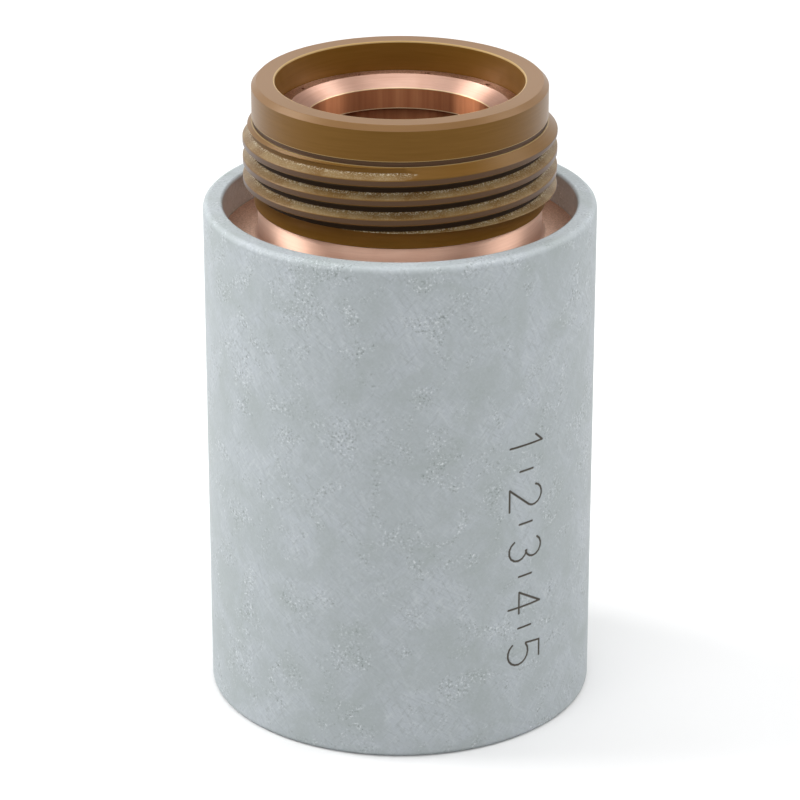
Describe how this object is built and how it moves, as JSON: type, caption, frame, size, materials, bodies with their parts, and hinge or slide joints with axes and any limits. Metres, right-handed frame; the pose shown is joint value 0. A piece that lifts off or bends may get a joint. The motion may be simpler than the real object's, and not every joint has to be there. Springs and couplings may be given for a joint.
{
  "type": "plasma torch retaining cap",
  "caption": "Hollow round cap: grey insulating shell over a stepped copper sleeve, with a brown threaded ring on its nose. Screws on a plasma torch, holds the nozzle and carries the shield.",
  "frame": {"origin": "centre of the rear face, on the surface that the cap stands on", "axes": "+Z along the cap's axis towards the shield's thread; -Y towards the picture's front"},
  "size_m": [0.036, 0.036, 0.0595],
  "materials": {
    "moulded_shell": "matt moulded",
    "turned_copper": "turned, bare copper",
    "brown_insulator": "machined, satin"
  },
  "bodies": {
    "root": {"outer_shell": "moulded_shell", "copper_sleeve": "turned_copper", "insulator_ring": "brown_insulator"}
  },
  "joints": []
}
